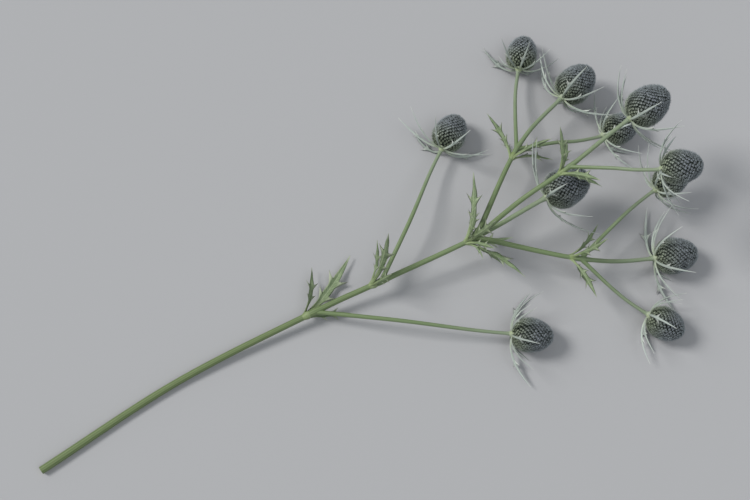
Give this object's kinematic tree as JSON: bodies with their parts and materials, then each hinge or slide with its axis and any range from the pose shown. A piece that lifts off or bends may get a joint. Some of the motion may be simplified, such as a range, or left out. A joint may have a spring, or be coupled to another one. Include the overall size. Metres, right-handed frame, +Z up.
{
  "type": "sea holly stem",
  "caption": "Branched cut stem of sea holly lying on a surface, with egg-shaped spiky flower heads, ruffs of narrow spiny bracts and toothed leaves at the forks.",
  "frame": {"origin": "middle of the bottom of the lying stem's bounding box, on the surface that it rests on", "axes": "+X along the stem from the cut end towards the flower heads, +Y towards the stem's left side, +Z up from the surface"},
  "size_m": [0.5342, 0.2835, 0.1333],
  "materials": {
    "stem_green": "matt green stem with fine ridges, paler and yellower below the heads",
    "leaf_green": "matt grey-green leaf with pale veins and spine tips",
    "bract_silver_green": "matt silvery grey-green bract with a lilac tint and a yellow-green base",
    "head_steel_blue": "matt pale steel-blue florets with dark gaps, greener at the head's base"
  },
  "bodies": {
    "root": {"stem": "stem_green", "whorl_main": "leaf_green", "whorl_left": "leaf_green", "whorl_right": "leaf_green", "whorl_upper": "leaf_green", "whorl_low_left": "leaf_green", "whorl_low_right": "leaf_green", "ruff_centre": "bract_silver_green", "ruff_left": "bract_silver_green", "ruff_left_inner": "bract_silver_green", "ruff_left_outer": "bract_silver_green", "ruff_right": "bract_silver_green", "ruff_right_inner": "bract_silver_green", "ruff_right_outer": "bract_silver_green", "ruff_upper": "bract_silver_green", "ruff_upper_side": "bract_silver_green", "ruff_low_left": "bract_silver_green", "ruff_low_right": "bract_silver_green", "head_centre": "head_steel_blue", "head_left": "head_steel_blue", "head_left_inner": "head_steel_blue", "head_left_outer": "head_steel_blue", "head_right": "head_steel_blue", "head_right_inner": "head_steel_blue", "head_right_outer": "head_steel_blue", "head_upper": "head_steel_blue", "head_upper_side": "head_steel_blue", "head_low_left": "head_steel_blue", "head_low_right": "head_steel_blue"}
  },
  "joints": []
}
